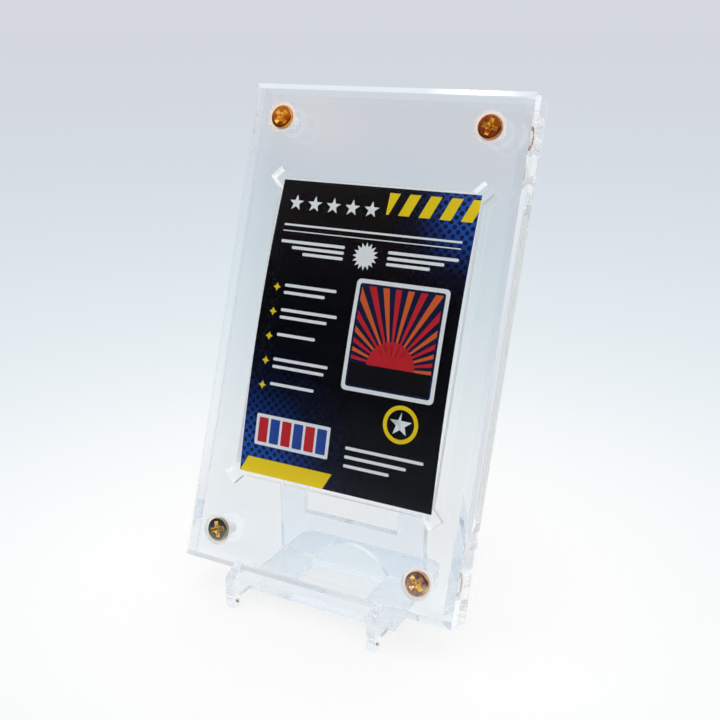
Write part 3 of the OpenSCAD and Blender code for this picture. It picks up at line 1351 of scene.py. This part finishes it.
@dataclass
class EaselStand:
    """One clear moulding: a base with a window, a wall with an arch and a window, and two hooked arms.

    It is built in the frame on the floor whose y is 0 under the case's bottom front edge.
    """

    lean: Lean
    material: Material
    case_depth: float = 12.7
    width: float = 49.0
    base_t: float = 2.5
    base_front: float = 6.9
    front_bar: float = 8.0
    window_half: float = 12.5
    heel_depth: float = 14.0
    heel_r: float = 5.0
    wall_y: float = 30.4
    wall_t: float = 2.6
    facet_h: float = 3.0
    upright_w: float = 8.5
    arch_h: float = 10.3
    arch_sides: int = 128
    rail_top: float = 17.5
    top_bar: float = 8.0
    top_r: float = 3.0
    arm_w: float = 2.8
    hook_shoulder: float = 0.4
    lip_h: float = 2.5
    lip_t: float = 1.4
    toe_r: float = 1.0
    foot_d: float = 1.9
    hollow_h: float = 2.6
    seat_gap: float = 0.1
    # Height of the space that is kept free for the case, over everything of the stand
    clear_h: float = 100.0
    edge_rounding: float = 0.35
    overrun: float = 1.0

    def build(self) -> Object:
        """Builds the stand and returns it."""
        stand = self._base()
        combine(stand, self._wall(), "UNION")
        for side in (-1, 1):
            combine(stand, self._arm(side), "UNION")
        combine(stand, self._case_space())
        finish_mesh(stand, self.lean.floor(), self.edge_rounding, segments=4, round_over_deg=40)
        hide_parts("easel_stand")
        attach(stand, "stand")
        return stand

    def _solid(self, bm: BMesh) -> Object:
        """Makes an object of the stand's own plastic.

        Args:
            bm: its mesh.

        Returns:
            The object.
        """
        return object_from(bm, "clear_easel_stand", [self.material])

    def _wall_height(self) -> float:
        """Works out the height of the wall, whose top is cut to the slope of the case."""
        lean = math.radians(self.lean.angle_deg)
        reach = self.wall_y - self.case_depth * math.cos(lean)
        meets = self.lean.case_rise - self.case_depth * math.sin(lean) + reach / math.tan(lean)
        return meets + self.facet_h

    def _base(self) -> Object:
        """Builds the floor plate with its rounded heel and its window."""
        back = self.wall_y + self.wall_t + self.heel_depth
        bm = box((-self.width / 2, self.base_front, 0), (self.width / 2, back, self.base_t))
        round_edges(bm, edges_along(bm, "z", y=back), self.heel_r)
        base = self._solid(bm)
        window = box(
            (-self.window_half, self.base_front + self.front_bar, -self.overrun),
            (self.window_half, self.wall_y, self.base_t + self.overrun),
        )
        combine(base, self._solid(window))
        return base

    def _wall(self) -> Object:
        """Builds the upright wall, with its rounded top corners, its window and its arch."""
        height = self._wall_height()
        bm = box((-self.width / 2, self.wall_y, 0), (self.width / 2, self.wall_y + self.wall_t, height))
        round_edges(bm, edges_along(bm, "y", z=height), self.top_r)
        wall = self._solid(bm)
        near, far = self.wall_y - self.overrun, self.wall_y + self.wall_t + self.overrun
        inner = self.width / 2 - self.upright_w
        window = box((-inner, near, self.rail_top), (inner, far, height - self.top_bar))
        combine(wall, self._solid(window))
        rise = self.arch_h - self.base_t
        radius = (self.window_half ** 2 + rise ** 2) / (2 * rise)
        start = (0, near, self.arch_h - radius)
        arch = disc_column(bmesh.new(), radius, start, far - near, Axis.INTO_CASE, self.arch_sides)
        cut_along(arch, (0, 0, self.base_t), (0, 0, -1))
        bmesh.ops.holes_fill(arch, edges=[e for e in arch.edges if e.is_boundary])
        bmesh.ops.recalc_face_normals(arch, faces=arch.faces)
        combine(wall, self._solid(arch))
        return wall

    def _arm(self, side: int) -> Object:
        """Builds one arm with its foot and its hook.

        Args:
            side: -1 for the left arm, 1 for the right one.

        Returns:
            The arm, with the hollow under it.
        """
        lean = math.radians(self.lean.angle_deg)
        tip_y, tip_z = self.lip_h * math.tan(lean) - self.lip_t, self.lean.case_rise + self.lip_h
        rib_y = self.case_depth * math.cos(lean)
        toe = -self.lean.hook_reach
        near = side * (self.width - self.arm_w) / 2 - self.arm_w / 2
        outline = (
            (toe, 0), (rib_y, 0), (rib_y, tip_z), (tip_y, tip_z),
            (toe, self.lean.case_rise - self.hook_shoulder),
        )
        bm = bmesh.new()
        profile = bm.faces.new([bm.verts.new((near, y, z)) for y, z in outline])
        push_out(bm, [profile], (self.arm_w, 0, 0))
        round_edges(bm, edges_along(bm, "x", y=toe, z=0), self.toe_r)
        arm = self._solid(bm)
        hollow = box(
            (near - self.overrun, toe + self.foot_d, -self.hollow_h),
            (near + self.arm_w + self.overrun, self.base_front, self.hollow_h),
        )
        round_edges(hollow, edges_along(hollow, "x", z=self.hollow_h), self.hollow_h)
        combine(arm, self._solid(hollow))
        return arm

    def _case_space(self) -> Object:
        """Makes the cutter that leaves room for the case and the gap round it."""
        gap = self.seat_gap
        space = box((-self.width, -gap, -gap), (self.width, self.case_depth + gap, self.clear_h))
        space.transform(self.lean.case_on_floor())
        return self._solid(space)


# ---------------------------------------------------------------------------------------------
# Studio
# ---------------------------------------------------------------------------------------------


@dataclass
class Studio:
    """White sweep, a soft lamp, the room that the metal mirrors, and the photograph's camera."""

    floor_size: float = 40.0
    # A film of air under the stand, so that its flat base doesn't look wetted
    floor_gap: float = 0.05
    camera_place: tuple[float, float, float] = (130.99, -240.04, 162.28)
    camera_forward: tuple[float, float, float] = (-0.44708, 0.83637, -0.31718)
    focal_px: float = 1002.0
    clip_start: float = 0.01
    # The tent behind and above the object, by height
    tent: tuple[tuple[float, str], ...] = (
        (0.0, "#D5D8E0"), (0.12, "#D5D8E0"), (0.3, "#E4E8EE"), (0.6, "#FFFFFF"),
    )
    # What the first mirror images show on the camera's side, by height: a dark room under a lit ceiling
    left_side: tuple[tuple[float, str], ...] = (
        (0.0, "#9FB4A8"), (0.05, "#3A66AA"), (0.12, "#1C3458"), (0.17, "#0E141C"), (0.42, "#131216"),
        (0.46, "#DDA47C"), (0.53, "#DDBFA8"), (0.7, "#FFF4E4"),
    )
    right_side: tuple[tuple[float, str], ...] = (
        (0.0, "#E4F0F4"), (0.085, "#D4E4EC"), (0.125, "#8C8490"), (0.145, "#4A4454"), (0.17, "#161214"),
        (0.435, "#1A1616"), (0.48, "#A07058"), (0.6, "#B09A8A"), (0.75, "#F2E6D8"),
    )
    # Where the tent ends and the camera's side is whole, by y, and where its left side ends and its
    # right side is whole, by x
    camera_side_from: tuple[float, float] = (-0.1, -0.55)
    right_side_from: tuple[float, float] = (-0.53, -0.43)
    # Lamp over the object that the bevels mirror
    lamp_towards: tuple[float, float, float] = (-0.37, 0.531, 0.762)
    lamp_reach: float = 0.05
    lamp_level: float = 8.0
    lamp_colour: str = "#EAF6FF"
    room_level: float = 0.95
    key_angle_deg: float = 40.0
    key_energy: float = 0.25
    key_facing: tuple[float, float, float] = (-0.3, 0.5, -1.0)

    def build(self) -> None:
        """Builds the floor, the room, the lamp and the camera."""
        self._floor()
        self._room()
        self._key_light()
        self._camera()

    def _floor(self) -> None:
        """Lays the sweep under the object."""
        bm = bmesh.new()
        bmesh.ops.create_grid(bm, x_segments=2, y_segments=2, size=self.floor_size / 2)
        bmesh.ops.translate(bm, vec=(0, 0, -self.floor_gap * MM), verts=bm.verts)
        floor = object_from(bm, "studio_floor", [StudioSweep().make()])

    def _room(self) -> None:
        """Surrounds the scene with the room: white tent above and behind, dark where the camera stands.

        Lamplight comes from an even white room. The camera, metal and clear plastic see its colours.
        """
        world = bpy.data.worlds.new("studio_room")
        bpy.context.scene.world = world
        world.use_nodes = True
        tree = world.node_tree
        tree.nodes.clear()
        lit = add_node(tree, "Background", {"Color": linear("#FFFFFF"), "Strength": self.room_level})
        shown = add_node(tree, "Background", {"Color": self._seen_colours(tree), "Strength": 1.0})
        mix = add_node(tree, "MixShader", {0: seen_share(tree), 1: lit, 2: shown})
        add_node(tree, "OutputWorld", {"Surface": mix})

    def _seen_colours(self, tree: NodeTree) -> NodeSocket:
        """Makes the room's colour in each direction.

        Args:
            tree: the world's node tree.

        Returns:
            The colour.
        """
        towards = add_node(tree, "TexCoord", output="Generated")
        split = add_node(tree, "SeparateXYZ", {"Vector": towards}).node.outputs
        tent, left, right = (
            add_node(tree, "ValToRGB", {"Fac": split["Z"]}, stops=stops)
            for stops in (self.tent, self.left_side, self.right_side)
        )
        depth = add_node(tree, "LightPath", output="Glossy Depth")
        once = add_node(tree, "Math", {0: depth, 1: 1.0, 2: 0.5}, operation="COMPARE")
        in_front = self._falls(tree, split["Y"], *self.camera_side_from)
        share = add_node(tree, "Math", {0: in_front, 1: once}, operation="MULTIPLY")
        at_right = self._falls(tree, split["X"], *self.right_side_from)
        camera_side = add_node(tree, "Mix", {0: at_right, 6: left, 7: right}, 2, data_type="RGBA")
        room = add_node(tree, "Mix", {0: share, 6: tent, 7: camera_side}, 2, data_type="RGBA")
        off_lamp = add_node(
            tree, "VectorMath", {0: towards, 1: self.lamp_towards}, "Value", operation="DISTANCE"
        )
        lamp = linear(self.lamp_colour)[:3]
        for scale in (self._falls(tree, off_lamp, self.lamp_reach, 0.0), self.lamp_level):
            lamp = add_node(tree, "VectorMath", {0: lamp, "Scale": scale}, operation="SCALE")
        return add_node(tree, "VectorMath", {0: room, 1: lamp}, operation="ADD")

    def _falls(self, tree: NodeTree, value: NodeSocket, none_at: float, all_at: float) -> NodeSocket:
        """Makes a share that goes smoothly from 0 at one value to 1 at another.

        Args:
            tree: the world's node tree.
            value: the value that is looked at.
            none_at: value at which the share is 0.
            all_at: value at which the share is 1.

        Returns:
            The share.
        """
        low, high = sorted((none_at, all_at))
        ends = (0.0, 1.0) if all_at > none_at else (1.0, 0.0)
        return add_node(
            tree, "MapRange",
            {"Value": value, "From Min": low, "From Max": high, "To Min": ends[0], "To Max": ends[1]},
            interpolation_type="SMOOTHSTEP",
        )

    def _key_light(self) -> None:
        """Hangs the soft sun-like key light, which lights the whole sweep evenly."""
        lamp = bpy.data.lights.new("soft_key_light", "SUN")
        lamp.angle = math.radians(self.key_angle_deg)
        lamp.energy = self.key_energy
        holder = bpy.data.objects.new("soft_key_light", lamp)
        holder.rotation_euler = Vector(self.key_facing).to_track_quat("-Z", "Y").to_euler()
        bpy.context.scene.collection.objects.link(holder)

    def _camera(self) -> None:
        """Places the camera where the photograph was taken from."""
        data = bpy.data.cameras.new("photo_camera")
        data.sensor_fit = "HORIZONTAL"
        data.sensor_width = SENSOR_WIDTH
        data.lens = self.focal_px * SENSOR_WIDTH / IMAGE_SIZE
        data.clip_start = self.clip_start
        camera = bpy.data.objects.new("photo_camera", data)
        camera.location = Vector(self.camera_place) * MM
        camera.rotation_euler = Vector(self.camera_forward).to_track_quat("-Z", "Y").to_euler()
        bpy.context.scene.collection.objects.link(camera)
        bpy.context.scene.camera = camera


def report(pieces: Sequence[Object]) -> None:
    """Logs each piece's name and face count.

    Args:
        pieces: the pieces that were built.
    """
    for piece in pieces:
        log.info("%s: %d faces", piece.name, len(piece.data.polygons))


def main() -> None:
    """Builds the studio and every piece of the object."""
    scene = bpy.context.scene
    scene.view_settings.view_transform = "Standard"
    scene.cycles.max_bounces = LIGHT_STEPS
    scene.cycles.glossy_bounces = LIGHT_STEPS
    scene.cycles.transmission_bounces = LIGHT_STEPS
    Studio().build()
    lean = Lean()
    polished = ClearAcrylic().make()
    # Both cut finishes carry a faint painted glow on their faces
    drilled = CutAcrylic("drilled_acrylic_frosted").make()
    milled = CutAcrylic("milled_acrylic_satin", roughness=0.25, painted_glow_inside=0.05, painted_glow_outside=0.22).make()
    plates = Plates(lean, polished, drilled, milled)
    report(plates.build())
    report(InsertCard(lean, plates).build())
    turns = {"top_left": 46, "top_right": 75, "bottom_left": 21, "bottom_right": 47}
    for corner, (x, z) in plates.screw_places().items():
        # Each screw's tints are partly painted reflection, matched to what its head mirrors
        main_colour, tint, rim, inside = ScrewToneAndReflection[corner.upper()].value
        brass = PlatedBrass("plated_brass_" + corner, main_colour, tint, rim).make()
        punched = PlatedBrass("punched_brass_" + corner, inside, inside, main_colour, 0.2).make()
        report([MachineScrew(corner, turns[corner], x, z, lean, brass, punched).build()])
    moulded = ClearAcrylic(
        "moulded_clear_plastic", tint="#F7FBFF", ior=1.5, roughness_low=0.1, roughness_high=0.22
    ).make()
    report([EaselStand(lean, moulded).build()])


if __name__ == "__main__":
    main()
